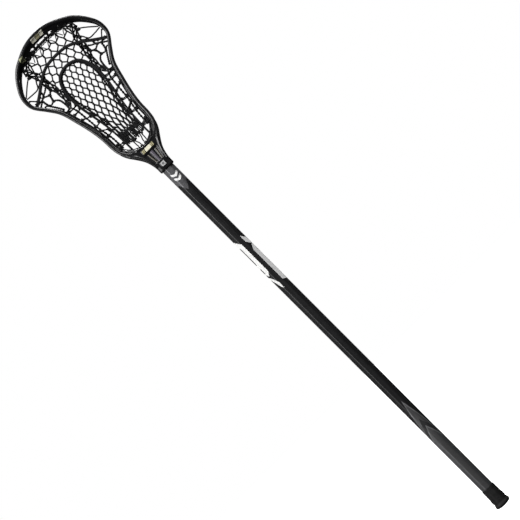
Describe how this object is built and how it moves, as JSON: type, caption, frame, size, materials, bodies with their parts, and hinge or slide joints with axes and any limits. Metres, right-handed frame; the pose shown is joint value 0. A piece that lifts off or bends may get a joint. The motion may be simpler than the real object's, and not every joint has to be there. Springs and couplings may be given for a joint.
{
  "type": "lacrosse stick",
  "caption": "Women's lacrosse stick: a moulded head with a dished net pocket tied in by strings, on a straight eight-sided hollow shaft with a rubber butt cap.",
  "frame": {"origin": "centre of the flat end of the butt cap, on the shaft's axis", "axes": "+Z along the shaft from the butt to the scoop; -Y the face that the ball is caught on; +X to the right seen from that face"},
  "size_m": [0.1848, 0.0664, 1.09],
  "materials": {
    "head_moulding": "black moulded nylon, satin",
    "shaft_coating": "satin black coating over fibre composite",
    "butt_rubber": "matte black rubber",
    "screw_steel": "black-oxide steel",
    "net_yarn": "knitted black polyester yarn",
    "string_cord": "braided black nylon cord",
    "shooting_lace": "thick woven black lace"
  },
  "bodies": {
    "stick": {"head_frame": "head_moulding", "head_screw": "screw_steel", "shaft": "shaft_coating", "pocket_mesh": "net_yarn", "top_string": "string_cord", "shooting_string": "shooting_lace", "channel_string": "shooting_lace", "sidewall_string_left": "string_cord", "sidewall_string_right": "string_cord", "corner_string_left": "string_cord", "corner_string_right": "string_cord", "throat_string_left": "string_cord", "throat_string_right": "string_cord"},
    "butt_cap": {"butt_cap": "butt_rubber"}
  },
  "joints": [
    {"name": "cap_slide", "type": "slide", "parent": "stick", "child": "butt_cap", "axis": [0, 0, -1], "range_m": [0, 0.04]}
  ]
}
